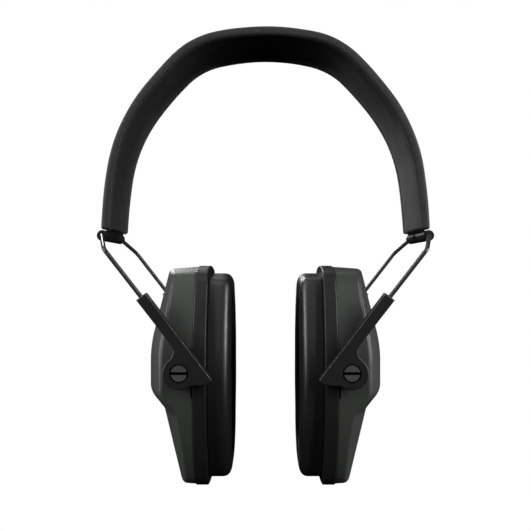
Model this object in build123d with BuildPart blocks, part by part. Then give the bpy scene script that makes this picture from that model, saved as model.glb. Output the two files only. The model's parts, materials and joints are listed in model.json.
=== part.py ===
from build123d import *

import os
from math import cos, degrees, radians, sin

# Folding earmuff, millimetres. +Z is up through the crown, +Y is the way the wearer faces and +X is
# the wearer's right. The origin is on the ground under the middle of the two cups.
# Every right-hand piece is built at +X and mirrored for the left.

# Cup: a barrel-shaped outline in YZ, carried along X from the cushion's face to the shell's dome.
CUP_HEIGHT = 105.9
CUP_HALF_WIDTH = 34.3
CUP_MID_Z = CUP_HEIGHT / 2
CROWN_ARC_R = 80.0  # top and bottom edges of the outline
SIDE_ARC_R = 100.0
CORNER_R = 11.0
FACE_X = 16.3  # cushion face against the head
BEZEL_X = 26.8
SEAM_X = 33.0

# Shell: its outline seen from the front, turned about an upright axis so that the face is crowned.
# Each corner of the outline is x, z and the radius it is rounded to.
SHELL_X = 56.4
SHELL_CROWN_R = 65.0
SHELL_WALL = 2.0
SHELL_INNER_X = 20.0
SHELL_TOP = (SEAM_X, CUP_HEIGHT, 0)
SHELL_BROW = (47.1, CUP_HEIGHT - 1.5, 3.0)
SHELL_SHOULDER = (SHELL_X, 67.5, 60.0)
SHELL_STEP_TOP = (SHELL_X, 46.4, 8.0)
SHELL_STEP_FOOT = (49.9, 37.9, 6.0)
SHELL_CHIN = (41.2, 1.2, 3.5)
SHELL_BOTTOM_Z = 0.9
SHELL_INSET = 0.5
SHELL_DRAFT = 0.07  # inset per mm of depth
SHELL_EDGE_R = 2.5
RIM_INSET = 2.5
RIM_WALL = 1.8
RIM_DEPTH = 2.4
SEAM_GAP = 0.05
BEZEL_EDGE_R = 0.7
RELIEF_WIDTH = 0.8
RELIEF_LENGTH = 30.0
RELIEF_DEPTH = 2.0
RELIEF_Z = 61.0
FOAM_INSET = 4.7
FOAM_GAP = 0.5

# Cushion: a foam ring in a skin, on a rigid seat plate.
CUSHION_INSET = 3.7
OPENING_INSET = 16.7
OPENING_CORNER_R = 26.0  # before the inset is taken off
CUSHION_OUTER_R = 3.4
CUSHION_INNER_R = 3.0
SKIN = 0.8
PLATE_THICKNESS = 1.4
FLANGE_INSET = 6.2

# Pivot: screws along Y through the two yoke bosses.
PIVOT_X = 38.15
PIVOT_Z = 58.15
ARM_INNER_Y = 35.0
ARM_OUTER_Y = 40.0
BOSS_R = 7.3
SHANK_R = 1.5
HEAD_R = 3.55
HEAD_THICKNESS = 1.5
HEAD_RECESS = 0.2
COUNTERBORE_R = 4.0
SLOT_WIDTH = 1.3
SLOT_DEPTH = 1.1
BUSH_R = 2.5
BUSH_FLANGE_R = 3.6
BUSH_INNER_Y = 27.7
SHELL_BOSS_R = 5.2
SHELL_BOSS_Y = 29.0
SHELL_PAD_Y = 34.35
WASHER_R = 4.5
RUNNING = 0.07  # radial clearance of everything that turns or slides
GAP = 0.1

# Wire bail: crossbar in the end clip, legs down to the yoke arms.
WIRE_R = 1.0
LEG_Y = 37.5
LEG_ANGLE = 37.9  # from upright, heading down and inwards
LEG_END_X = 55.15  # where the leg enters the arm
LEG_END_Z = 91.8
BEND_DISTANCE = 26.8  # straight wire showing above the arm
CROSSBAR_X = 76.9
CROSSBAR_Z = 120.0
CROSSBAR_HALF = 20.5
LEG_DEPTH = 22.0  # wire inside the arm
STOP_BALL_R = 1.35
LEG_BEND_R = 3.0
BAR_BEND_R = 2.5

# Yoke arm: measured along the leg from the arm's upper end, and across it.
ARM_ABOVE = 2.9
ARM_BELOW = 2.3
ARM_TIP = (23.3, 54.9)
ARM_HEEL = (25.5, 53.0)
ARM_TAIL = (36.0, 52.3)
ARM_ARMPIT = (38.4, 65.6)
PIVOT_ALONG = 36.8
ARM_TIP_R = 1.0
ARM_HEEL_R = 2.0
ARM_TAIL_R = 3.0
ARM_ARMPIT_R = 5.0
ARM_EDGE_R = 0.5
CHANNEL_R = 1.5
CHANNEL_LENGTH = 44.0
MOUTH_BUSH_R = 1.9
MOUTH_BUSH_LENGTH = 5.0

# Headband: tangent arcs from the crown down to one end, each a radius and the angle it turns.
BAND_TOP_Z = 216.1
BAND_ARCS = ((108, 13), (37.5, 31.6), (158, 8.4), (79, 28.6), (270, 5.8))
BAND_WIDTH = 42.4
BAND_THICKNESS = 4.5
BAND_EDGE_R = 1.7
COVER_WALL = 0.8
LIP_WIDTH = 3.4
SPRING_WIDTH = 18.0
SPRING_LOW = 0.3
SPRING_HIGH = 0.8
FOAM_LOW = -1.3
FOAM_HIGH = 0.2
SPRING_TRIM = 1.0

# End clip: an open barrel round the crossbar and a tongue riveted inside the band.
BARREL_R = 2.6
BARREL_HALF = 19.0
TONGUE_HALF = 16.0
TONGUE_LENGTH = 11.0
TONGUE_LOW = -0.95
TONGUE_HIGH = 0.25
WINDOW_WIDTH = 6.0
RIVET_R = 1.2
RIVET_HEAD_R = 2.0
RIVET_Y = 5.5
RIVET_RISE = 6.0
RIVET_HEAD = 0.2

LEG_DOWN = Vector(-sin(radians(LEG_ANGLE)), 0, -cos(radians(LEG_ANGLE)))
LEG_ACROSS = Vector(-cos(radians(LEG_ANGLE)), 0, sin(radians(LEG_ANGLE)))


def save(piece, name):
    """Label one finished piece and write it under its own name."""
    piece.label = name
    export_step(piece, f"parts/{name}.step")


def save_pair(piece, name):
    """Write a right-hand piece and its mirror image."""
    save(mirror(piece, about=Plane.YZ), f"left_{name}")
    save(piece, f"right_{name}")


def cup_outline(x, inset, corner=CORNER_R):
    """Sketch the cup's barrel-shaped outline at depth x, this far inside the bezel's edge."""
    crown = CROWN_ARC_R - inset
    side = SIDE_ARC_R - inset
    with BuildSketch(Plane.YZ.offset(x)) as outline:
        with Locations((0, CUP_HEIGHT - CROWN_ARC_R)):
            Circle(crown)
        with Locations((0, CROWN_ARC_R)):
            Circle(crown, mode=Mode.INTERSECT)
        with Locations((SIDE_ARC_R - CUP_HALF_WIDTH, CUP_MID_Z)):
            Circle(side, mode=Mode.INTERSECT)
        with Locations((CUP_HALF_WIDTH - SIDE_ARC_R, CUP_MID_Z)):
            Circle(side, mode=Mode.INTERSECT)
        fillet(outline.vertices(), corner - inset)
    return outline.sketch


def oval_prism(low_x, high_x, inset, corner=CORNER_R, mode=Mode.ADD):
    """Extrude the cup's outline from one depth to another."""
    extrude(cup_outline(low_x, inset, corner), amount=high_x - low_x, mode=mode)


def pivot_rod(radius, low_y, high_y, mode=Mode.ADD):
    """Add or cut a round rod on the screw axis, and its mirror image at the other side of the cup."""
    with BuildPart(mode=Mode.PRIVATE) as rod:
        with BuildSketch(Plane.XZ.offset(-low_y)):
            with Locations((PIVOT_X, PIVOT_Z)):
                Circle(radius)
        extrude(amount=low_y - high_y)
    add(rod.part, mode=mode)
    add(mirror(rod.part, about=Plane.XZ, mode=Mode.PRIVATE), mode=mode)


def shell_profile(inset):
    """Front outline of the shell: top, domed face, step inwards and tapering chin."""
    corners = (SHELL_TOP, SHELL_BROW, SHELL_SHOULDER, SHELL_STEP_TOP, SHELL_STEP_FOOT, SHELL_CHIN)
    with BuildSketch(Plane.XZ) as outline:
        with BuildLine():
            FilletPolyline(
                (SHELL_INNER_X, SHELL_TOP[1]),
                *[(x - inset, z) for x, z, _ in corners],
                (SHELL_INNER_X, SHELL_BOTTOM_Z),
                radius=[0, *[radius for _, _, radius in corners], 0],
                close=True,
            )
        make_face()
    return outline.sketch


def shell_body(inset):
    """Solid bounded by the drafted oval sides and the crowned outer face, all inset this far."""
    near, far = SEAM_X, SHELL_X + 2
    with BuildPart() as sides:
        near_oval = cup_outline(near, SHELL_INSET + inset)
        far_oval = cup_outline(far, SHELL_INSET + inset + SHELL_DRAFT * (far - near))
        loft([near_oval.face(), far_oval.face()])
    axis_x = SHELL_X - SHELL_CROWN_R
    with BuildPart() as face:
        revolve(shell_profile(inset), axis=Axis((axis_x, 0, 0), (0, 0, 1)), revolution_arc=45)
        mirror(about=Plane.XZ)
    return sides.part & face.part


def cushion_ring(skin, back_x):
    """Ring of the ear cushion, this far inside its skin, rounded at the face."""
    face_x = FACE_X + skin
    with BuildPart() as ring:
        oval_prism(face_x, back_x, CUSHION_INSET + skin)
        oval_prism(face_x, back_x, OPENING_INSET - skin, OPENING_CORNER_R, mode=Mode.SUBTRACT)
        face = ring.faces().sort_by(Axis.X)[0]
        fillet(face.outer_wire().edges(), CUSHION_OUTER_R - skin)
        face = ring.faces().sort_by(Axis.X)[0]
        fillet(face.inner_wires()[0].edges(), CUSHION_INNER_R - skin)
    return ring.part


def on_leg(along, across=0.0, y=0.0):
    """Point measured down the leg from the arm's upper end, and across it towards the head."""
    return Vector(LEG_END_X, y, LEG_END_Z) + LEG_DOWN * along + LEG_ACROSS * across


def on_leg_flat(along, across):
    """The same point as a pair for a sketch on the XZ plane."""
    point = on_leg(along, across)
    return (point.X, point.Z)


def band_path(trim=0.0):
    """Middle line of half the headband, from the crown down, stopping short of the end by trim."""
    with BuildLine(Plane.XZ) as line:
        start, heading = (0, BAND_TOP_Z), (1, 0)
        for radius, turn in BAND_ARCS[:-1]:
            arc = JernArc(start, heading, radius, -turn)
            start, heading = arc @ 1, arc % 1
        radius, turn = BAND_ARCS[-1]
        JernArc(start, heading, radius, degrees(trim / radius) - turn)
    return line.wires()[0]


def band_frame(trim):
    """Plane across the band at a distance from its end: x along Y, y outwards, z down the band."""
    path = band_path(trim)
    return Plane(origin=path @ 1, x_dir=(0, 1, 0), z_dir=path % 1)


def band_layer(half_width, low, high, trim=0.0, mode=Mode.ADD):
    """Sweep one layer over half the band, between two heights outwards of the middle line."""
    with BuildSketch(Plane.YZ) as section:
        with Locations((0, BAND_TOP_Z + (low + high) / 2)):
            Rectangle(2 * half_width, high - low)
    sweep(section.sketch, path=band_path(trim), mode=mode)


def rivet_rods(radius, low, high, mode=Mode.ADD):
    """Add or cut round rods through the band where the two rivets stand."""
    with BuildPart(mode=Mode.PRIVATE) as rods:
        across = band_frame(RIVET_RISE)
        with BuildSketch(Plane(origin=across.origin, x_dir=(0, 1, 0), z_dir=across.y_dir).offset(low)):
            with GridLocations(2 * RIVET_Y, 0, 2, 1):
                Circle(radius)
        extrude(amount=high - low)
    add(rods.part, mode=mode)


os.makedirs("parts", exist_ok=True)

# Cup shell: hollow moulding with a rim that enters the bezel ring and two side bosses.
with BuildPart() as shell_rim:
    oval_prism(SEAM_X - RIM_DEPTH, SEAM_X + RIM_DEPTH, RIM_INSET)
    oval_prism(SEAM_X - RIM_DEPTH, SEAM_X + RIM_DEPTH, RIM_INSET + RIM_WALL, mode=Mode.SUBTRACT)

with BuildPart() as cup_shell:
    add(shell_body(0))
    outer_edges = cup_shell.edges().filter_by(lambda edge: edge.center().X > PIVOT_X)
    fillet(outer_edges, SHELL_EDGE_R)
    add(shell_body(SHELL_WALL), mode=Mode.SUBTRACT)
    add(shell_rim.part)
    pivot_rod(SHELL_BOSS_R, SHELL_BOSS_Y, SHELL_PAD_Y)
    pivot_rod(BUSH_R + RUNNING, SHELL_BOSS_Y - GAP, SHELL_PAD_Y + GAP, mode=Mode.SUBTRACT)
    with BuildSketch(Plane.YZ.offset(SEAM_X)) as relief:
        with Locations((-CUP_HALF_WIDTH, RELIEF_Z), (CUP_HALF_WIDTH, RELIEF_Z)):
            Rectangle(2 * RELIEF_DEPTH, RELIEF_LENGTH)
    extrude(amount=RELIEF_WIDTH, mode=Mode.SUBTRACT)

# Bezel ring: socket for the shell's rim on one side, flange for the seat plate on the other.
with BuildPart() as bezel_ring:
    oval_prism(BEZEL_X, SEAM_X - SEAM_GAP, 0)
    floor_x = SEAM_X - RIM_DEPTH - GAP
    oval_prism(BEZEL_X, floor_x, FLANGE_INSET, mode=Mode.SUBTRACT)
    oval_prism(floor_x, SEAM_X, RIM_INSET - GAP, mode=Mode.SUBTRACT)
    for face in (bezel_ring.faces().sort_by(Axis.X)[0], bezel_ring.faces().sort_by(Axis.X)[-1]):
        fillet(face.outer_wire().edges(), BEZEL_EDGE_R)

# Seat plate: rigid ring under the cushion with a spigot that snaps through the bezel's flange.
with BuildPart() as seat_plate:
    plate_low = BEZEL_X - GAP - PLATE_THICKNESS
    opening = OPENING_INSET - SKIN - GAP
    oval_prism(plate_low, BEZEL_X - GAP, CUSHION_INSET + SKIN + GAP)
    oval_prism(BEZEL_X - GAP, floor_x - GAP, FLANGE_INSET + GAP)
    oval_prism(BEZEL_X - GAP, floor_x - GAP, FLANGE_INSET + GAP + RIM_WALL, mode=Mode.SUBTRACT)
    oval_prism(plate_low, BEZEL_X - GAP, opening, OPENING_CORNER_R, mode=Mode.SUBTRACT)

# Ear cushion: skin, open at the back onto the seat plate, and the foam ring inside it.
with BuildPart() as cushion_cover:
    add(cushion_ring(0, BEZEL_X - SEAM_GAP))
    add(cushion_ring(SKIN, BEZEL_X), mode=Mode.SUBTRACT)

with BuildPart() as cushion_foam:
    add(cushion_ring(SKIN + GAP, plate_low - GAP))

# Acoustic foam: fills the shell behind the ear opening, clear of the bosses and bushes.
with BuildPart() as acoustic_foam:
    add(shell_body(FOAM_INSET))
    pivot_rod(SHELL_BOSS_R + FOAM_GAP, BUSH_INNER_Y - FOAM_GAP, ARM_INNER_Y, mode=Mode.SUBTRACT)

# Pivot bushes, friction washers and screws, a pair of each on the screw axis.
with BuildPart() as pivot_bushes:
    pivot_rod(BUSH_FLANGE_R, BUSH_INNER_Y, SHELL_BOSS_Y - GAP)
    pivot_rod(BUSH_R, SHELL_BOSS_Y - GAP, SHELL_PAD_Y)
    pivot_rod(SHANK_R + SEAM_GAP, BUSH_INNER_Y, SHELL_PAD_Y, mode=Mode.SUBTRACT)

with BuildPart() as friction_washers:
    pivot_rod(WASHER_R, SHELL_PAD_Y + GAP, ARM_INNER_Y - GAP)
    pivot_rod(SHANK_R + RUNNING, SHELL_PAD_Y + GAP, ARM_INNER_Y - GAP, mode=Mode.SUBTRACT)

head_top_y = ARM_OUTER_Y - HEAD_RECESS
head_seat_y = head_top_y - HEAD_THICKNESS
with BuildPart() as pivot_screws:
    pivot_rod(SHANK_R, BUSH_INNER_Y + GAP, head_seat_y)
    pivot_rod(HEAD_R, head_seat_y, head_top_y)
    with BuildSketch(Plane.XZ) as slot:
        with Locations((PIVOT_X, PIVOT_Z)):
            Rectangle(3 * HEAD_R, SLOT_WIDTH)
    with BuildPart(mode=Mode.PRIVATE) as slots:
        extrude(slot.sketch, amount=ARM_OUTER_Y, both=True)
        extrude(slot.sketch, amount=head_top_y - SLOT_DEPTH, both=True, mode=Mode.SUBTRACT)
    add(slots.part, mode=Mode.SUBTRACT)

# Yoke arm: sleeve for the wire leg, boss for the screw and a tail that points at the cushion.
with BuildPart() as front_yoke_arm:
    with BuildSketch(Plane.XZ.offset(-ARM_OUTER_Y)) as arm_outline:
        with BuildLine():
            Polyline(
                on_leg_flat(0, -ARM_BELOW),
                on_leg_flat(0, ARM_ABOVE),
                ARM_TIP,
                ARM_HEEL,
                ARM_TAIL,
                on_leg_flat(PIVOT_ALONG, -ARM_BELOW),
                close=True,
            )
        make_face()
        with Locations((PIVOT_X, PIVOT_Z)):
            Circle(BOSS_R)
        rounding = (
            (ARM_TIP, ARM_TIP_R),
            (ARM_HEEL, ARM_HEEL_R),
            (ARM_TAIL, ARM_TAIL_R),
            (ARM_ARMPIT, ARM_ARMPIT_R),
        )
        for place, radius in rounding:
            fillet(arm_outline.vertices().sort_by_distance((*place, 0))[0], radius)
    extrude(amount=ARM_OUTER_Y - ARM_INNER_Y)
    fillet(front_yoke_arm.faces().sort_by(Axis.Y)[-1].outer_wire().edges(), ARM_EDGE_R)
    mouth = Plane(origin=on_leg(0, 0, LEG_Y), z_dir=LEG_DOWN)
    with BuildSketch(mouth):
        Circle(CHANNEL_R)
    extrude(amount=CHANNEL_LENGTH, mode=Mode.SUBTRACT)
    with BuildSketch(mouth):
        Circle(MOUTH_BUSH_R)
    extrude(amount=MOUTH_BUSH_LENGTH, mode=Mode.SUBTRACT)
    with Locations(Plane(origin=(PIVOT_X, ARM_OUTER_Y, PIVOT_Z), z_dir=(0, 1, 0))):
        CounterBoreHole(SHANK_R + RUNNING, COUNTERBORE_R, ARM_OUTER_Y - head_seat_y + SEAM_GAP)

# Friction bushes in the mouths of both arms.
with BuildPart() as wire_bushes:
    with BuildSketch(mouth.offset(GAP)):
        Circle(MOUTH_BUSH_R - SEAM_GAP)
        Circle(WIRE_R + RUNNING, mode=Mode.SUBTRACT)
    extrude(amount=MOUTH_BUSH_LENGTH - 2 * GAP)
    mirror(about=Plane.XZ)

# Wire bail: one bent wire with an upset ball at each end that stops it leaving its arm.
with BuildPart() as wire_bail:
    half_path = (
        on_leg(LEG_DEPTH, 0, LEG_Y),
        on_leg(-BEND_DISTANCE, 0, LEG_Y),
        Vector(CROSSBAR_X, CROSSBAR_HALF, CROSSBAR_Z),
    )
    other_half = [Vector(point.X, -point.Y, point.Z) for point in reversed(half_path)]
    with BuildLine() as wire_path:
        FilletPolyline(*half_path, *other_half, radius=[LEG_BEND_R, BAR_BEND_R, BAR_BEND_R, LEG_BEND_R])
    with BuildSketch(Plane(origin=half_path[0], z_dir=LEG_DOWN)):
        Circle(WIRE_R)
    sweep(path=wire_path.wires()[0])
    with Locations(half_path[0], other_half[-1]):
        Sphere(STOP_BALL_R)

# Headband: cover with two lips, lining between them, foam pad and spring strip inside.
inner_low = COVER_WALL + SEAM_GAP - BAND_THICKNESS / 2
with BuildPart() as headband_cover:
    with BuildSketch(Plane.YZ) as cover_section:
        with Locations((0, BAND_TOP_Z)):
            RectangleRounded(BAND_WIDTH, BAND_THICKNESS, BAND_EDGE_R)
    sweep(cover_section.sketch, path=band_path())
    cavity_high = BAND_THICKNESS / 2 - COVER_WALL
    band_layer(BAND_WIDTH / 2 - COVER_WALL, inner_low, cavity_high, mode=Mode.SUBTRACT)
    band_layer(BAND_WIDTH / 2 - LIP_WIDTH, -BAND_THICKNESS, inner_low, mode=Mode.SUBTRACT)
    mirror(about=Plane.YZ)

with BuildPart() as headband_lining:
    lining_half = BAND_WIDTH / 2 - LIP_WIDTH - GAP
    band_layer(lining_half, -BAND_THICKNESS / 2, inner_low - SEAM_GAP)
    mirror(about=Plane.YZ)

with BuildPart() as headband_foam:
    band_layer(BAND_WIDTH / 2 - COVER_WALL - GAP, FOAM_LOW, FOAM_HIGH, TONGUE_LENGTH + GAP)
    mirror(about=Plane.YZ)

with BuildPart() as headband_spring:
    band_layer(SPRING_WIDTH / 2, SPRING_LOW, SPRING_HIGH, SPRING_TRIM)
    rivet_rods(RIVET_R + SEAM_GAP, 0, BAND_THICKNESS / 2, mode=Mode.SUBTRACT)
    mirror(about=Plane.YZ)

# End clip: tongue up into the band, neck, and a barrel round the crossbar with one window.
with BuildPart() as end_clip:
    tongue_top = band_frame(TONGUE_LENGTH)
    end_radius = BAND_ARCS[-1][0]
    with BuildLine(Plane.XZ) as tongue_path:
        JernArc(tongue_top.origin, tongue_top.z_dir, end_radius, -degrees(TONGUE_LENGTH / end_radius))
    with BuildSketch(tongue_top) as tongue_section:
        with Locations((0, (TONGUE_LOW + TONGUE_HIGH) / 2)):
            Rectangle(2 * TONGUE_HALF, TONGUE_HIGH - TONGUE_LOW)
    sweep(path=tongue_path.wires()[0])
    band_end = band_frame(0)
    neck_inner = band_end.origin + band_end.y_dir * TONGUE_LOW
    neck_outer = band_end.origin + band_end.y_dir * TONGUE_HIGH
    with BuildSketch(Plane.XZ.offset(-TONGUE_HALF)):
        with BuildLine():
            Polyline(
                (neck_inner.X, neck_inner.Z),
                (neck_outer.X, neck_outer.Z),
                (CROSSBAR_X + BARREL_R / 2, CROSSBAR_Z),
                (CROSSBAR_X - BARREL_R / 2, CROSSBAR_Z),
                close=True,
            )
        make_face()
    extrude(amount=2 * TONGUE_HALF)
    barrel_end = Plane(origin=(CROSSBAR_X, -BARREL_HALF, CROSSBAR_Z), z_dir=(0, 1, 0))
    with BuildSketch(barrel_end):
        Circle(BARREL_R)
    extrude(amount=2 * BARREL_HALF)
    with BuildSketch(barrel_end):
        Circle(WIRE_R + RUNNING)
    extrude(amount=2 * BARREL_HALF, mode=Mode.SUBTRACT)
    with BuildSketch(Plane.YZ.offset(CROSSBAR_X)):
        with Locations((0, CROSSBAR_Z)):
            Rectangle(WINDOW_WIDTH, 2 * WIRE_R)
    extrude(amount=-2 * BARREL_R, mode=Mode.SUBTRACT)
    rivet_rods(RIVET_R + SEAM_GAP, TONGUE_LOW - GAP, TONGUE_HIGH + GAP, mode=Mode.SUBTRACT)

with BuildPart() as clip_rivets:
    rivet_rods(RIVET_R, TONGUE_LOW, SPRING_HIGH)
    rivet_rods(RIVET_HEAD_R, SPRING_HIGH, SPRING_HIGH + RIVET_HEAD)

save(headband_cover.part, "headband_cover")
save(headband_lining.part, "headband_lining")
save(headband_foam.part, "headband_foam")
save(headband_spring.part, "headband_spring")
save_pair(end_clip.part, "end_clip")
save_pair(clip_rivets.part, "clip_rivets")
save_pair(wire_bail.part, "wire_bail")
save_pair(front_yoke_arm.part, "front_yoke_arm")
save_pair(mirror(front_yoke_arm.part, about=Plane.XZ), "rear_yoke_arm")
save_pair(wire_bushes.part, "wire_bushes")
save_pair(pivot_screws.part, "pivot_screws")
save_pair(friction_washers.part, "friction_washers")
save_pair(pivot_bushes.part, "pivot_bushes")
save_pair(cup_shell.part, "cup_shell")
save_pair(bezel_ring.part, "bezel_ring")
save_pair(seat_plate.part, "seat_plate")
save_pair(cushion_cover.part, "cushion_cover")
save_pair(cushion_foam.part, "cushion_foam")
save_pair(acoustic_foam.part, "acoustic_foam")
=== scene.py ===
import json
import math

import bmesh
import bpy
import numpy as np
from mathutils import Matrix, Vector


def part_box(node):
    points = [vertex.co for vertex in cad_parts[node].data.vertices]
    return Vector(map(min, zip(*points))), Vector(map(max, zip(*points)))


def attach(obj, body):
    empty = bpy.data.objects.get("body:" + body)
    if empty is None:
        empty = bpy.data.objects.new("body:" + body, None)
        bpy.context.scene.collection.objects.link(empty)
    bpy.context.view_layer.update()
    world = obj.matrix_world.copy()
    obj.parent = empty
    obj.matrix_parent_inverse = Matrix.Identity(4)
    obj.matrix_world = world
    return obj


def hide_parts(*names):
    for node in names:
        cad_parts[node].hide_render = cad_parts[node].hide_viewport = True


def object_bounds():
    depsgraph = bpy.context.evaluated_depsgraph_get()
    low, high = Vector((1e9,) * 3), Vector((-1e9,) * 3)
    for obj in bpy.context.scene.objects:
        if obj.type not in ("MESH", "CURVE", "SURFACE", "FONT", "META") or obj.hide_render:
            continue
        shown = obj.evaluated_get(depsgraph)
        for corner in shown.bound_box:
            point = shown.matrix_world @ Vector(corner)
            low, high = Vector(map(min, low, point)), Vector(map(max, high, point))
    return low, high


# Looks of the folding earmuff. Metres, in the CAD model's frame: the origin is on the ground midway
# between the cups, +Z is up through the crown, +Y is the way the wearer faces.

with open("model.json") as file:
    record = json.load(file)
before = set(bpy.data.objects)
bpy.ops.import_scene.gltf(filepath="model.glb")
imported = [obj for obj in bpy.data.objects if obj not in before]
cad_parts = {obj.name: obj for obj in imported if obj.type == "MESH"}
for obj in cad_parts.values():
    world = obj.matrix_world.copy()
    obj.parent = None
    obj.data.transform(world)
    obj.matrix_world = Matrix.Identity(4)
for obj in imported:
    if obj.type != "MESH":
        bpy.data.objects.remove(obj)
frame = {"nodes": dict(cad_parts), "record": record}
cad_low, cad_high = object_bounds()

MM = 0.001
SIDES = (("left", -1), ("right", 1))

# Camera and lights
CAMERA_AT = (0.0, -0.330, 0.1035)
CAMERA_LENS = 44.75
CAMERA_SHIFT_Y = 0.00942
CAMERA_NEAR = 0.01
BACKGROUND = 1.0
FLOOR_SIZE = 8.0
FLOOR_GAP = 0.0002
LIGHT_AIM = (0, 0, 0.10)
DOME = 0.02
DOME_DARK_BELOW = -0.2

# Name, place, width, height and power of each area light
LIGHTS = (
    ("front_left_strip", (-0.70, -0.55, 0.45), 0.10, 0.70, 4.5),
    ("front_right_strip", (0.70, -0.55, 0.45), 0.10, 0.70, 6.0),
    ("overhead_left", (-0.30, -0.20, 0.80), 0.60, 0.60, 1.4),
    ("overhead_back", (0.0, 0.30, 0.80), 0.50, 0.30, 0.6),
    ("rim_left", (-0.31, 0.57, 0.67), 0.14, 0.14, 2.2),
    ("rim_low_left", (-0.30, 0.72, 0.42), 0.25, 0.25, 1.3),
    ("side_left", (-0.95, 0.10, 0.15), 0.15, 0.50, 3.6),
    ("side_right", (0.95, 0.10, 0.15), 0.15, 0.50, 3.8),
    ("front_fill", (0.0, -1.10, 0.15), 0.80, 0.80, 0.1),
)

# From here on, lengths are in mm.
# Headband path: tangent arcs from the crown to one end, radius and the angle each turns
BAND_ARCS = ((108, 13), (37.5, 31.6), (158, 8.4), (79, 28.6), (270, 5.8))
BAND_TOP_Z = 216.1
BAND_HALF_WIDTH = 21.2
BAND_HALF_THICKNESS = 2.25
BAND_EDGE_R = 1.7
BAND_ROW = 0.55
BAND_END_R = 1.3
BAND_END_ROWS = 9
COVER_CROWN = 0.12
COVER_END_DRAW = (0.9, 0.5)
LINING_END_DRAW = (2.6, 0.6)
SKIN_WALL = 0.6

# Seam between cover and lining: where it runs across the band, and the puckers beside it
SEAM_AT = 18.0
SEAM_R = 0.9
SEAM_DEPTH = 0.75
PANEL_PUFF = 0.45
PUCKER_PITCH = 2.6
PUCKER_REACH = 1.5
PUCKER_DEPTH = 0.03
LINING_SHORT = 0.25
FOAM_SHORT = 11.3
FOAM_SECTION = ((-19.5, -1.05), (19.5, -1.05), (19.9, -0.4), (19.5, 0.1), (-19.5, 0.1), (-19.9, -0.4))
STITCH_AT = 19.45
STITCH_PITCH = 2.6
STITCH_LENGTH = 1.9
STITCH_END = 6.0
STITCH_STEPS = 7
STITCH_ARCH = 0.04
STITCH_SUNK = 0.08
THREAD_R = 0.09
THREAD_TIP_R = 0.02
THREAD_SIDES = 6

# Soft unevenness: random seed, wave lengths and height
COVER_UNEVEN = (5, (23.0, 41.0), 0.12)
LINING_UNEVEN = (6, (13.0, 31.0), 0.16)
CUSHION_UNEVEN = (11, (28.0, 47.0), 0.10)
PAD_UNEVEN = (17, (9.0, 15.0), 0.4)
COVER_GATHER_SEED = 3
LINING_GATHER_SEED = 4

# Screw axis
PIVOT_X = 38.15
PIVOT_Z = 58.15

# Cup outline: four arcs meeting in rounded corners
CUP_HEIGHT = 105.9
CUP_HALF_WIDTH = 34.3
CROWN_ARC_R = 80.0
SIDE_ARC_R = 100.0
OUTER_CORNER_R = 11.0
OPENING_CORNER_R = 26.0

# Ear cushion
FACE_X = 16.1
CUSHION_INSET = 3.7
OPENING_INSET = 16.7
CUSHION_OUTER_R = 3.8
CUSHION_INNER_R = 3.6
CUSHION_BACK_X = 26.7
CUSHION_START = 0.1
CUSHION_COLUMNS = 224
CUSHION_SIDE_ROWS = 9
CUSHION_ROW_STEP = 1.2
CUSHION_MEAN_R = 45.0
CUSHION_PRESSURE = 25.0
CLOTH_FRAMES = 20
CLOTH_REACH = 0.8
CLOTH_QUALITY = 6
CLOTH_MASS = 0.05
CLOTH_STIFFNESS = 8
CLOTH_BENDING = 1.5
CUSHION_FOAM_TRIM = 1.3
CUSHION_FOAM_BACK = 25.0
FOAM_PAD_DEPTH = 5.5
FOAM_PAD_INSET = 7.2
FOAM_PAD_COLUMNS = 160
FOAM_PAD_CENTRE = 0.03
FOAM_PAD_RIM = ((0.965, 0.4), (0.985, 1.2), (1.0, 2.4))


# ---------------------------------------------------------------- materials

class Graph:
    """A material's node tree, with short calls to add nodes and join them."""

    def __init__(self, name):
        self.material = bpy.data.materials.new(name)
        self.material.use_nodes = True
        self.tree = self.material.node_tree
        self.shader = self.tree.nodes["Principled BSDF"]

    def put(self, node, inputs):
        for key, value in inputs.items():
            socket = node.inputs[key]
            if isinstance(value, bpy.types.NodeSocket):
                self.tree.links.new(value, socket)
            else:
                socket.default_value = value
        return node

    def add(self, kind, inputs=(), **settings):
        node = self.tree.nodes.new("ShaderNode" + kind)
        for key, value in settings.items():
            setattr(node, key, value)
        return self.put(node, dict(inputs))

    def place(self):
        return self.add("TexCoord").outputs["Object"]

    def noise(self, scale, detail=4.0, roughness=0.55, stretch=(1, 1, 1)):
        where = self.add("Mapping", {"Vector": self.place(), "Scale": stretch}).outputs[0]
        inputs = {"Vector": where, "Scale": scale, "Detail": detail, "Roughness": roughness}
        return self.add("TexNoise", inputs).outputs["Fac"]

    def cells(self, scale, feature="F1", randomness=1.0):
        inputs = {"Vector": self.place(), "Scale": scale, "Randomness": randomness}
        return self.add("TexVoronoi", inputs, feature=feature).outputs["Distance"]

    def span(self, value, low, high, to_low, to_high):
        ends = {"From Min": low, "From Max": high, "To Min": to_low, "To Max": to_high}
        return self.add("MapRange", {"Value": value, **ends}).outputs["Result"]

    def maths(self, operation, a, b=0.0):
        node = self.add("Math", operation=operation)
        self.put(node, {0: a, 1: b})
        return node.outputs[0]

    def blend(self, share, a, b):
        node = self.add("Mix", data_type="RGBA")
        for socket, value in ((node.inputs[0], share), (node.inputs[6], a), (node.inputs[7], b)):
            if isinstance(value, bpy.types.NodeSocket):
                self.tree.links.new(value, socket)
            else:
                socket.default_value = value
        return node.outputs[2]

    def bump(self, height, distance, strength):
        inputs = {"Height": height, "Distance": distance, "Strength": strength}
        return self.add("Bump", inputs).outputs["Normal"]

    def wear(self):
        """High along convex edges, where handling polishes the surface."""
        return self.add("NewGeometry").outputs["Pointiness"]

    def finish(self, **inputs):
        named = {key.replace("_", " "): value for key, value in inputs.items()}
        self.put(self.shader, named)
        return self.material


def grey(value, green=0.0):
    return (value, value * (1 + green), value, 1.0)


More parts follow.
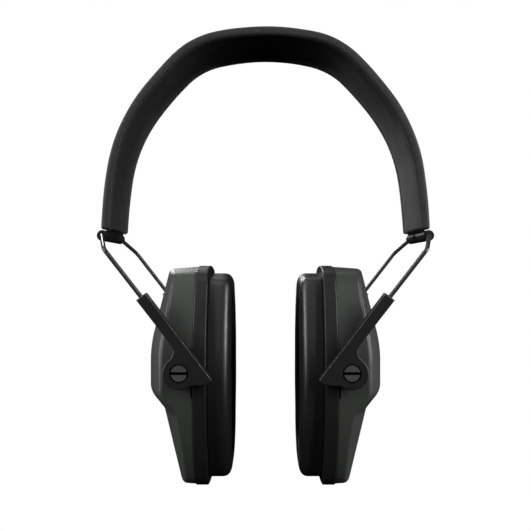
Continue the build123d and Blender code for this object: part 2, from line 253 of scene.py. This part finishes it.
def moulded_plastic(name, dark, light, roughness, green=0.0, recess_y=None, recess_r=1.0):
    """Injection-moulded plastic: fine spark-eroded texture, faint flow mottling and polished edges.
    Below recess_y, and within recess_r of the screw's axis, it is nearly black and less shiny: painted
    shade in the screw's recess and slot."""
    g = Graph(name)
    mottle = g.noise(35.0, 3.0)
    spark = g.noise(2600.0, 3.0, 0.6)
    pits = g.cells(1900.0)
    colour = g.blend(mottle, grey(dark, green=green), grey(light, green=green))
    edge = g.span(g.wear(), 0.52, 0.60, 0.0, 1.0)
    colour = g.blend(g.maths("MULTIPLY", edge, 0.25), colour, grey(light * 1.5, green=green))
    rough = g.span(mottle, 0.3, 0.7, roughness - 0.03, roughness + 0.04)
    rough = g.maths("SUBTRACT", rough, g.maths("MULTIPLY", edge, 0.06))
    height = g.maths("ADD", spark, g.maths("MULTIPLY", pits, 0.5))
    normal = g.bump(height, 0.00001, 0.5)
    if recess_y is None:
        return g.finish(Base_Color=colour, Roughness=rough, Normal=normal)
    # Painted shade: the counterbore, the ring round the screw head and the screw's slot are coloured
    # nearly black and made less shiny, standing in for the shade in these hollows.
    axes = g.add("SeparateXYZ", {"Vector": g.place()}).outputs
    deep = g.maths("LESS_THAN", g.maths("ABSOLUTE", axes[1]), recess_y)
    off_x = g.maths("SUBTRACT", g.maths("ABSOLUTE", axes[0]), PIVOT_X * MM)
    off_z = g.maths("SUBTRACT", axes[2], PIVOT_Z * MM)
    squares = g.maths("ADD", g.maths("POWER", off_x, 2), g.maths("POWER", off_z, 2))
    reach = g.maths("SQRT", squares)
    painted_shade = g.maths("MULTIPLY", deep, g.maths("LESS_THAN", reach, recess_r))
    colour = g.blend(painted_shade, colour, grey(0.0006))
    shine = g.maths("SUBTRACT", 0.5, g.maths("MULTIPLY", painted_shade, 0.45))
    return g.finish(Base_Color=colour, Roughness=rough, Normal=normal, Specular_IOR_Level=shine)


def drawn_metal(name, colour, roughness, metallic=1.0):
    """Drawn or turned metal: fine directional scratches and slight tarnish."""
    g = Graph(name)
    scratches = g.noise(9000.0, 2.0, 0.5, (1, 1, 0.05))
    tarnish = g.noise(160.0, 5.0)
    dull = tuple(channel * 0.85 for channel in colour[:3]) + (1.0,)
    tone = g.blend(g.span(tarnish, 0.35, 0.7, 0.0, 1.0), colour, dull)
    rough = g.span(scratches, 0.2, 0.8, roughness - 0.02, roughness + 0.03)
    normal = g.bump(tarnish, 0.00001, 0.2)
    return g.finish(Base_Color=tone, Metallic=metallic, Roughness=rough, Normal=normal)


def cushion_skin():
    """Soft black vinyl: shallow pebble grain and a low sheen."""
    g = Graph("cushion_skin")
    grain = g.cells(900.0, "F1")
    fine = g.noise(1800.0, 3.0)
    patch = g.noise(28.0, 3.0)
    colour = g.blend(patch, grey(0.009), grey(0.012))
    rough = g.span(patch, 0.3, 0.7, 0.37, 0.43)
    height = g.maths("ADD", grain, g.maths("MULTIPLY", fine, 0.4))
    normal = g.bump(height, 0.00002, 0.5)
    return g.finish(Base_Color=colour, Roughness=rough, Normal=normal, Specular_IOR_Level=1.0)


def band_leatherette():
    """Outer cover: pebbled leatherette."""
    g = Graph("band_leatherette")
    pebble = g.cells(1050.0, "F1", randomness=0.6)
    crack = g.cells(1050.0, "DISTANCE_TO_EDGE", randomness=0.6)
    patch = g.noise(30.0, 4.0)
    colour = g.blend(patch, grey(0.019), grey(0.025))
    valley = g.span(crack, 0.0, 0.18, 1.0, 0.0)
    colour = g.blend(g.maths("MULTIPLY", valley, 0.7), colour, grey(0.006))
    rough = g.span(pebble, 0.0, 0.8, 0.50, 0.66)
    height = g.maths("SUBTRACT", g.maths("MULTIPLY", pebble, -0.3), valley)
    normal = g.bump(height, 0.00010, 0.8)
    return g.finish(Base_Color=colour, Roughness=rough, Normal=normal, Sheen_Weight=0.1)


def band_lining():
    """Inner panel: smooth matt synthetic leather with a very fine grain."""
    g = Graph("band_lining")
    grain = g.cells(2200.0, "F1")
    patch = g.noise(40.0, 4.0)
    colour = g.blend(patch, grey(0.021), grey(0.025))
    rough = g.span(patch, 0.3, 0.7, 0.58, 0.66)
    normal = g.bump(grain, 0.00003, 0.5)
    return g.finish(Base_Color=colour, Roughness=rough, Normal=normal, Sheen_Weight=0.03)


def soft_foam():
    """Open-cell foam: a web of small pores."""
    g = Graph("soft_foam")
    pores = g.cells(1100.0, "DISTANCE_TO_EDGE")
    patch = g.noise(60.0, 4.0)
    web = g.span(pores, 0.0, 0.3, 1.0, 0.0)
    colour = g.blend(web, grey(0.006), grey(0.035))
    colour = g.blend(g.maths("MULTIPLY", patch, 0.4), colour, grey(0.02))
    normal = g.bump(web, 0.0003, 0.8)
    return g.finish(Base_Color=colour, Roughness=0.95, Normal=normal, Sheen_Weight=0.3)


# Dark and light tone, roughness and green tint; for a recess painted dark as shade, also its depth and
# radius
PLASTICS = {
    "shell_plastic": (0.048, 0.055, 0.40, 0.09),
    "bezel_plastic": (0.011, 0.014, 0.43),
    "arm_plastic": (0.014, 0.017, 0.36, 0.0, 41 * MM, 4.15 * MM),
    "screw_plastic": (0.055, 0.064, 0.45, 0.05, 39.4 * MM, 5 * MM),
    "clip_plastic": (0.013, 0.016, 0.38),
    "washer_plastic": (0.25, 0.30, 0.50),
}

# Colour and roughness; for the painted wire, also how metallic it is
METALS = {
    "bush_brass": ((0.62, 0.42, 0.16, 1.0), 0.32),
    "wire_steel": ((0.075, 0.078, 0.076, 1.0), 0.30, 0.55),
    "spring_steel": ((0.30, 0.31, 0.33, 1.0), 0.35),
    "rivet_steel": ((0.20, 0.20, 0.21, 1.0), 0.32),
}

MATERIALS = {name: moulded_plastic(name, *values) for name, values in PLASTICS.items()}
MATERIALS.update({name: drawn_metal(name, *values) for name, values in METALS.items()})
MATERIALS["cushion_skin"] = cushion_skin()
MATERIALS["band_leatherette"] = band_leatherette()
MATERIALS["band_lining"] = band_lining()
MATERIALS["soft_foam"] = soft_foam()


def dress(obj, slot):
    """Give a piece the material made for this slot."""
    obj.data.materials.clear()
    obj.data.materials.append(MATERIALS[slot])


def node_slots():
    """Material slot of each CAD node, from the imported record."""
    found = {}
    for part in frame["record"]["subparts"]:
        found[part["node"]] = part["material_slot"]
    return found


# ---------------------------------------------------------------- meshes

def add_object(name, data):
    obj = bpy.data.objects.new(name, data)
    bpy.context.scene.collection.objects.link(obj)
    return obj


def grid_piece(name, points, slot, body, nodes=(), wrap_rows=False, wrap_columns=False, caps=False):
    """Quad surface through a grid of points, rows by columns. It rides on a CAD body and stands in
    for the CAD nodes named."""
    rows, columns = points.shape[:2]
    faces = []
    for row in range(rows if wrap_rows else rows - 1):
        below = (row + 1) % rows
        for column in range(columns if wrap_columns else columns - 1):
            beside = (column + 1) % columns
            corners = ((row, column), (row, beside), (below, beside), (below, column))
            faces.append([r * columns + c for r, c in corners])
    if caps:
        faces.append(list(range(columns))[::-1])
        faces.append([(rows - 1) * columns + column for column in range(columns)])
    mesh = bpy.data.meshes.new(name)
    mesh.from_pydata((points.reshape(-1, 3) * MM).tolist(), [], faces)
    mesh.polygons.foreach_set("use_smooth", [True] * len(faces))
    tidy = bmesh.new()
    tidy.from_mesh(mesh)
    bmesh.ops.recalc_face_normals(tidy, faces=tidy.faces)
    tidy.to_mesh(mesh)
    tidy.free()
    obj = add_object(name, mesh)
    dress(obj, slot)
    if nodes:
        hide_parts(*nodes)
    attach(obj, body)
    return obj


def thicken(obj):
    """Give a sheet its wall, inwards of the surface drawn."""
    wall = obj.modifiers.new("wall", "SOLIDIFY")
    wall.thickness = SKIN_WALL * MM
    wall.offset = -1.0
    wall.use_even_offset = False
    wall.use_rim = True


def ripple(seed, lengths, height, along, across):
    """Soft unevenness: a few crossed waves of these lengths, with fixed random phases."""
    chance = np.random.default_rng(seed)
    total = 0.0 * along * across
    for length in lengths:
        for _ in range(3):
            turn = chance.uniform(0, 2 * math.pi)
            phase = chance.uniform(0, 2 * math.pi)
            run = along * math.cos(turn) + across * math.sin(turn)
            total = total + np.sin(2 * math.pi * run / length + phase)
    return height * total / (3 * len(lengths))


# ---------------------------------------------------------------- headband

def band_line(distance):
    """Middle line of the band at signed distances from the crown: x, z and the turn of its normal."""
    half = np.abs(distance)
    x, z, turn = 0.0 * half, 0.0 * half + BAND_TOP_Z, 0.0 * half
    for radius, degrees_turned in BAND_ARCS:
        length = radius * math.radians(degrees_turned)
        step = np.clip(half, 0.0, length) / radius
        x = x + radius * (np.sin(turn + step) - np.sin(turn))
        z = z + radius * (np.cos(turn + step) - np.cos(turn))
        turn = turn + step
        half = half - length
    return x * np.sign(distance), z, turn * np.sign(distance)


def band_length():
    return sum(radius * math.radians(turned) for radius, turned in BAND_ARCS)


def band_rows(short=0.0):
    """Distances from the crown of every row across the band, closer together near both ends."""
    end = band_length() - short
    even = np.arange(0.0, end - BAND_END_R, BAND_ROW)
    near_end = end - BAND_END_R * (1 - np.sin(np.linspace(0, math.pi / 2, BAND_END_ROWS)))
    half = np.concatenate([even, near_end])
    return np.concatenate([-half[:0:-1], half])


def sweep_band(distance, across, outwards):
    """Points from distance along the band, distance across it and height outwards."""
    x, z, turn = band_line(distance)
    x = x[:, None] + np.sin(turn)[:, None] * outwards
    z = z[:, None] + np.cos(turn)[:, None] * outwards
    return np.stack([x, across + 0.0 * outwards, z], axis=-1)


def round_ends(distance, across, outwards, draw, short=0.0):
    """Draw the last rows in, so that the ends are soft instead of cut square."""
    across_r, outwards_r = draw
    left = band_length() - short - np.abs(distance)
    share = np.clip(1 - left / BAND_END_R, 0, 1)
    drawn = (1 - np.sqrt(1 - share ** 2))[:, None]
    across = across * (1 - drawn * across_r / BAND_HALF_WIDTH)
    outwards = outwards * (1 - drawn * outwards_r / BAND_HALF_THICKNESS)
    return across, outwards


def gathers(distance, across, seed):
    """Small puckers where the skin is drawn into the seam on each side."""
    chance = np.random.default_rng(seed)
    phase = ripple(seed, (17.0, 29.0), 3.0, distance, 0 * distance)
    wave = np.sin(2 * math.pi * distance / PUCKER_PITCH + phase)
    wave = wave * (0.75 + 0.25 * np.sin(distance / 9.0 + chance.uniform(0, 6)))
    near = np.exp(-((np.abs(across) - SEAM_AT) / PUCKER_REACH) ** 2)
    return PUCKER_DEPTH * wave[:, None] * near


def cover_section():
    """Half section of the cover from the middle of its outer face round the edge to the seam."""
    half, thick, edge = BAND_HALF_WIDTH, BAND_HALF_THICKNESS, BAND_EDGE_R
    face = np.linspace(0, half - edge, 18)
    points = [(y, thick + COVER_CROWN * (1 - (y / half) ** 2)) for y in face]
    for angle in np.linspace(0, math.pi / 2, 7)[1:]:
        points.append((half - edge + edge * math.sin(angle), thick - edge + edge * math.cos(angle)))
    for angle in np.linspace(math.pi / 2, math.pi, 7):
        points.append((half - edge + edge * math.sin(angle), edge - thick + edge * math.cos(angle)))
    lip = np.linspace(half - edge, SEAM_AT + SEAM_R, 4)[1:-1]
    points += [(y, -thick) for y in lip]
    for angle in np.linspace(0, math.pi / 2, 6):
        drop = SEAM_DEPTH * (1 - math.cos(angle))
        points.append((SEAM_AT + SEAM_R * (1 - math.sin(angle)), -thick + drop))
    points.append((SEAM_AT - 0.5, -thick + SEAM_DEPTH + 0.1))
    return np.array(points)


def lining_section():
    """Half section of the padded lining: its puffed face from the middle to the seam, then its back."""
    points = []
    for share in np.sin(np.linspace(0, math.pi / 2, 26)):
        rise = (1 - share ** 6) ** 0.5
        y = share * (SEAM_AT - 0.05)
        puff = PANEL_PUFF * (1 - share ** 2) + SEAM_DEPTH * (rise - 1)
        points.append((y, -BAND_HALF_THICKNESS - puff))
    back = -BAND_HALF_THICKNESS + SEAM_DEPTH + 0.3
    points += [(y, back) for y in np.linspace(SEAM_AT - 0.6, 0, 8)]
    return np.array(points)


def make_headband():
    rows = band_rows()
    half = cover_section()
    section = np.concatenate([half[::-1] * (-1, 1), half[1:]])
    across = np.tile(section[:, 0], (len(rows), 1))
    outwards = np.tile(section[:, 1], (len(rows), 1))
    inner = np.clip(-outwards / BAND_HALF_THICKNESS, 0, 1)
    outwards = outwards + inner * gathers(rows, across, COVER_GATHER_SEED)
    outwards = outwards + ripple(*COVER_UNEVEN, rows[:, None], across)
    across, outwards = round_ends(rows, across, outwards, COVER_END_DRAW)
    cover = grid_piece("headband_cover_skin", sweep_band(rows, across, outwards), "band_leatherette",
                       "headband", ["headband_cover"])
    thicken(cover)

    rows = band_rows(LINING_SHORT)
    half = lining_section()
    section = np.concatenate([half, half[-2:0:-1] * (-1, 1)])
    across = np.tile(section[:, 0], (len(rows), 1))
    outwards = np.tile(section[:, 1], (len(rows), 1))
    face = np.clip(-outwards - BAND_HALF_THICKNESS + SEAM_DEPTH, 0, 1)
    uneven = gathers(rows, across, LINING_GATHER_SEED) + ripple(*LINING_UNEVEN, rows[:, None], across)
    outwards = outwards + face * uneven
    across, outwards = round_ends(rows, across, outwards, LINING_END_DRAW, LINING_SHORT)
    grid_piece("headband_lining_pad", sweep_band(rows, across, outwards), "band_lining",
               "headband", ["headband_lining"], wrap_columns=True, caps=True)

    rows = band_rows(FOAM_SHORT)
    section = np.array(FOAM_SECTION)
    across = np.tile(section[:, 0], (len(rows), 1))
    outwards = np.tile(section[:, 1], (len(rows), 1))
    grid_piece("headband_foam_pad", sweep_band(rows, across, outwards), "soft_foam",
               "headband", ["headband_foam"], wrap_columns=True, caps=True)


def make_stitches():
    """Lockstitches on the lip beside both seams: one short thread arch for each stitch."""
    count = int((band_length() - STITCH_END) / STITCH_PITCH)
    centres = np.arange(-count, count + 1) * STITCH_PITCH
    spans = np.linspace(-1, 1, STITCH_STEPS)
    ring = np.linspace(0, 2 * math.pi, THREAD_SIDES + 1)[:-1]
    mesh = bmesh.new()
    for side in (-1, 1):
        for centre in centres:
            distance = centre + spans * STITCH_LENGTH / 2
            x, z, turn = band_line(distance)
            previous = None
            for k, span in enumerate(spans):
                thick = THREAD_R * (1 - span ** 4) ** 0.5 + THREAD_TIP_R
                height = -BAND_HALF_THICKNESS - STITCH_ARCH * (1 - span ** 2) + STITCH_SUNK
                loop = []
                for angle in ring:
                    out = height + thick * math.cos(angle)
                    y = side * STITCH_AT + thick * math.sin(angle)
                    place = (x[k] + math.sin(turn[k]) * out, y, z[k] + math.cos(turn[k]) * out)
                    loop.append(mesh.verts.new([value * MM for value in place]))
                if previous is None:
                    mesh.faces.new(loop)
                else:
                    for j in range(len(ring)):
                        n = (j + 1) % len(ring)
                        mesh.faces.new((previous[j], previous[n], loop[n], loop[j]))
                previous = loop
            mesh.faces.new(previous[::-1])
    bmesh.ops.recalc_face_normals(mesh, faces=mesh.faces)
    data = bpy.data.meshes.new("headband_stitching")
    mesh.to_mesh(data)
    mesh.free()
    data.polygons.foreach_set("use_smooth", [True] * len(data.polygons))
    obj = add_object("headband_stitching", data)
    dress(obj, "band_leatherette")
    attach(obj, "headband")


# ---------------------------------------------------------------- ear cushions

def cup_ring(inset, corner):
    """Polar angles and distances, from the cup's middle, of points this far inside its outline."""
    top = np.array((0.0, CUP_HEIGHT - CROWN_ARC_R))
    side = np.array((CUP_HALF_WIDTH - SIDE_ARC_R, CUP_HEIGHT / 2))
    reach = side - top
    gap = np.linalg.norm(reach)
    from_top, from_side = CROWN_ARC_R - corner, SIDE_ARC_R - corner
    along = (gap ** 2 + from_top ** 2 - from_side ** 2) / (2 * gap)
    up = math.sqrt(from_top ** 2 - along ** 2)
    unit = reach / gap
    centre = top + unit * along + np.array((-unit[1], unit[0])) * up
    if centre[0] < 0 or centre[1] < CUP_HEIGHT / 2:
        centre = top + unit * along - np.array((-unit[1], unit[0])) * up
    start = math.atan2(*(centre - side)[::-1])
    finish = math.atan2(*(centre - top)[::-1])
    angles = np.linspace(0, math.pi / 2, 2400)
    normals = np.stack([np.cos(angles), np.sin(angles)], axis=-1)
    centres = np.where((angles < start)[:, None], side, np.where((angles > finish)[:, None], top, centre))
    radii = np.where(angles < start, SIDE_ARC_R, np.where(angles > finish, CROWN_ARC_R, corner))
    quarter = centres + normals * (radii - inset)[:, None]
    quarter = quarter - (0.0, CUP_HEIGHT / 2)
    upper = np.concatenate([quarter, quarter[-2::-1] * (-1, 1)])
    whole = np.concatenate([upper, upper[-2:0:-1] * (1, -1)])
    polar = np.unwrap(np.arctan2(whole[:, 1], whole[:, 0]))
    length = np.linalg.norm(whole, axis=1)
    return polar, length


def outline_at(polar, inset, corner):
    """Distance from the cup's middle to its outline along each polar angle."""
    angles, lengths = cup_ring(inset, corner)
    return np.interp(polar % (2 * math.pi), angles, lengths, period=2 * math.pi)


def even_angles(count):
    """Polar angles that space points evenly round the cup."""
    fine = np.linspace(0, 2 * math.pi, 4001)
    radius = outline_at(fine, CUSHION_INSET, OUTER_CORNER_R)
    places = np.stack([radius * np.cos(fine), radius * np.sin(fine)], axis=-1)
    run = np.concatenate([[0], np.cumsum(np.linalg.norm(np.diff(places, axis=0), axis=1))])
    return np.interp(np.arange(count) / count * run[-1], run, fine)


def ring_points(profile, count):
    """Sweep a profile round the cup: share of the way from the outer edge to the opening, distance
    outwards from there, and x."""
    polar = even_angles(count)
    outer = outline_at(polar, CUSHION_INSET, OUTER_CORNER_R)
    inner = outline_at(polar, OPENING_INSET, OPENING_CORNER_R)
    rows = []
    for share, extra, x in profile:
        radius = outer + (inner - outer) * share + extra
        place = (x + 0 * polar, radius * np.cos(polar), CUP_HEIGHT / 2 + radius * np.sin(polar))
        rows.append(np.stack(place, axis=-1))
    return np.array(rows)


def cushion_profile(trim, back):
    """Section of the cushion from its outer back edge over the face to its inner back edge."""
    profile = []
    outer_r, inner_r = CUSHION_OUTER_R, CUSHION_INNER_R
    face = FACE_X + trim
    for x in np.linspace(back, face + outer_r, CUSHION_SIDE_ROWS):
        profile.append((0.0, -trim, x))
    for angle in np.linspace(0, math.pi / 2, 7)[1:]:
        drawn = outer_r * (1 - math.cos(angle))
        profile.append((0.0, -trim - drawn, face + outer_r * (1 - math.sin(angle))))
    for share in np.linspace(0, 1, 9)[1:-1]:
        extra = (-trim - outer_r) * (1 - share) + (trim + inner_r) * share
        profile.append((share, extra, face))
    for angle in np.linspace(math.pi / 2, 0, 7)[:-1]:
        drawn = inner_r * (1 - math.cos(angle))
        profile.append((1.0, trim + drawn, face + inner_r * (1 - math.sin(angle))))
    for x in np.linspace(face + inner_r, back, CUSHION_SIDE_ROWS):
        profile.append((1.0, trim, x))
    return profile


def inflate(points):
    """Let pressure fill the cushion's skin, held along its back edges, by at most a small amount."""
    rows, columns = points.shape[:2]
    obj = grid_piece("cushion_trial", points, "cushion_skin", "right_cup", wrap_columns=True)
    held = obj.vertex_groups.new(name="held")
    edge = [r * columns + c for r in (0, 1, rows - 2, rows - 1) for c in range(columns)]
    held.add(edge, 1.0, "REPLACE")
    cloth = obj.modifiers.new("cloth", "CLOTH")
    cloth.settings.quality = CLOTH_QUALITY
    cloth.settings.mass = CLOTH_MASS
    cloth.settings.tension_stiffness = CLOTH_STIFFNESS
    cloth.settings.compression_stiffness = CLOTH_STIFFNESS
    cloth.settings.bending_stiffness = CLOTH_BENDING
    cloth.settings.use_pressure = True
    cloth.settings.uniform_pressure_force = CUSHION_PRESSURE
    cloth.settings.vertex_group_mass = "held"
    cloth.settings.effector_weights.gravity = 0
    cloth.collision_settings.use_self_collision = False
    cloth.point_cache.frame_start = 1
    cloth.point_cache.frame_end = CLOTH_FRAMES
    for number in range(1, CLOTH_FRAMES + 1):
        bpy.context.scene.frame_set(number)
    solved = obj.evaluated_get(bpy.context.evaluated_depsgraph_get())
    filled = np.array([vertex.co[:] for vertex in solved.data.vertices]) / MM
    bpy.context.scene.frame_set(1)
    bpy.data.objects.remove(obj)
    moved = filled - points.reshape(-1, 3)
    reach = np.linalg.norm(moved, axis=1)
    share = np.minimum(1.0, CLOTH_REACH / np.maximum(reach, 1e-9))
    return (points.reshape(-1, 3) + moved * share[:, None]).reshape(points.shape)


def make_cushions():
    points = ring_points(cushion_profile(CUSHION_START, CUSHION_BACK_X), CUSHION_COLUMNS)
    points = inflate(points)
    turn = np.linspace(0, 2 * math.pi, CUSHION_COLUMNS, endpoint=False)
    around = turn[None, :] * CUSHION_MEAN_R
    depth = np.arange(points.shape[0])[:, None] * CUSHION_ROW_STEP
    uneven = ripple(*CUSHION_UNEVEN, around, depth)
    free = np.sin(np.linspace(0, math.pi, points.shape[0]))[:, None]
    points[..., 0] += uneven * free
    foam = ring_points(cushion_profile(CUSHION_FOAM_TRIM, CUSHION_FOAM_BACK), CUSHION_COLUMNS // 2)
    for side, sign in SIDES:
        way = np.array((sign, 1, 1))
        cover = grid_piece(side + "_cushion_skin", points * way, "cushion_skin", side + "_cup",
                           [side + "_cushion_cover"], wrap_columns=True)
        thicken(cover)
        smooth = cover.modifiers.new("smooth", "SUBSURF")
        smooth.levels = smooth.render_levels = 1
        grid_piece(side + "_cushion_foam_ring", foam * way, "soft_foam", side + "_cup",
                   [side + "_cushion_foam"], wrap_rows=True, wrap_columns=True)


def make_acoustic_foams():
    """Crowned foam pad that fills each shell behind the ear opening."""
    low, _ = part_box("right_acoustic_foam")
    front = low.x / MM
    polar = even_angles(FOAM_PAD_COLUMNS)
    reach = outline_at(polar, FOAM_PAD_INSET, OUTER_CORNER_R)
    crown = np.linspace(FOAM_PAD_CENTRE, 0.94, 26)
    profile = [(share, -math.cos(share * math.pi / 2)) for share in crown]
    profile += FOAM_PAD_RIM
    profile += [(1.0, FOAM_PAD_DEPTH - 1), (0.985, FOAM_PAD_DEPTH)]
    profile += [(0.5, FOAM_PAD_DEPTH), (FOAM_PAD_CENTRE, FOAM_PAD_DEPTH)]
    rows = []
    for share, depth in profile:
        y, z = share * reach * np.cos(polar), share * reach * np.sin(polar)
        bumps = ripple(*PAD_UNEVEN, y, z) if depth < 0.5 else 0.0 * y
        rows.append(np.stack([front + depth + bumps, y, CUP_HEIGHT / 2 + z], axis=-1))
    points = np.array(rows)
    for side, sign in SIDES:
        grid_piece(side + "_acoustic_foam_pad", points * (sign, 1, 1), "soft_foam", side + "_cup",
                   [side + "_acoustic_foam"], wrap_columns=True, caps=True)


# ---------------------------------------------------------------- stage, lights and camera

def make_camera():
    data = bpy.data.cameras.new("camera")
    data.lens = CAMERA_LENS
    data.shift_y = CAMERA_SHIFT_Y
    data.clip_start = CAMERA_NEAR
    camera = add_object("camera", data)
    camera.location = CAMERA_AT
    camera.rotation_euler = (math.radians(90), 0, 0)
    bpy.context.scene.camera = camera


def area_light(name, at, width, height, power):
    data = bpy.data.lights.new(name, "AREA")
    data.shape = "RECTANGLE"
    data.size = width
    data.size_y = height
    data.energy = power
    lamp = add_object(name, data)
    lamp.location = at
    lamp.rotation_euler = (Vector(LIGHT_AIM) - Vector(at)).to_track_quat("-Z", "Y").to_euler()
    lamp.visible_camera = False


def make_world():
    """White to the camera; for lighting, a dim dome that is brighter above."""
    world = bpy.data.worlds.new("studio")
    bpy.context.scene.world = world
    world.use_nodes = True
    tree = world.node_tree
    tree.nodes.clear()
    place = tree.nodes.new("ShaderNodeTexCoord")
    split = tree.nodes.new("ShaderNodeSeparateXYZ")
    height = tree.nodes.new("ShaderNodeMapRange")
    height.inputs["From Min"].default_value = DOME_DARK_BELOW
    height.inputs["From Max"].default_value = 1.0
    height.inputs["To Min"].default_value = 0.0
    height.inputs["To Max"].default_value = DOME
    dome = tree.nodes.new("ShaderNodeBackground")
    seen = tree.nodes.new("ShaderNodeBackground")
    seen.inputs["Strength"].default_value = BACKGROUND
    path = tree.nodes.new("ShaderNodeLightPath")
    mix = tree.nodes.new("ShaderNodeMixShader")
    out = tree.nodes.new("ShaderNodeOutputWorld")
    seen.inputs["Color"].default_value = (1, 1, 1, 1)
    dome.inputs["Color"].default_value = (1, 1, 1, 1)
    tree.links.new(place.outputs["Generated"], split.inputs[0])
    tree.links.new(split.outputs["Z"], height.inputs["Value"])
    tree.links.new(height.outputs["Result"], dome.inputs["Strength"])
    tree.links.new(path.outputs["Is Camera Ray"], mix.inputs[0])
    tree.links.new(dome.outputs[0], mix.inputs[1])
    tree.links.new(seen.outputs[0], mix.inputs[2])
    tree.links.new(mix.outputs[0], out.inputs[0])


def make_floor():
    """Flat floor that looks as bright as the background and throws no light back up."""
    bpy.ops.mesh.primitive_plane_add(size=FLOOR_SIZE, location=(0, 0, cad_low.z - FLOOR_GAP))
    floor = bpy.context.object
    floor.name = "studio_floor"
    g = Graph("studio_floor")
    tree = g.tree
    glow = g.add("Emission", {"Color": (1, 1, 1, 1), "Strength": BACKGROUND})
    black = g.add("BsdfDiffuse", {"Color": (0, 0, 0, 1)})
    path = g.add("LightPath")
    mix = g.add("MixShader", {0: path.outputs["Is Camera Ray"]})
    tree.links.new(black.outputs[0], mix.inputs[1])
    tree.links.new(glow.outputs[0], mix.inputs[2])
    tree.links.new(mix.outputs[0], tree.nodes["Material Output"].inputs[0])
    floor.data.materials.append(g.material)
    floor.visible_shadow = False


def make_studio():
    make_camera()
    make_world()
    make_floor()
    for light in LIGHTS:
        area_light(*light)
    bpy.context.scene.view_settings.view_transform = "Standard"


# ---------------------------------------------------------------- build

make_studio()
slots = node_slots()
for name, node in frame["nodes"].items():
    dress(node, slots[name])
make_headband()
make_stitches()
make_cushions()
make_acoustic_foams()
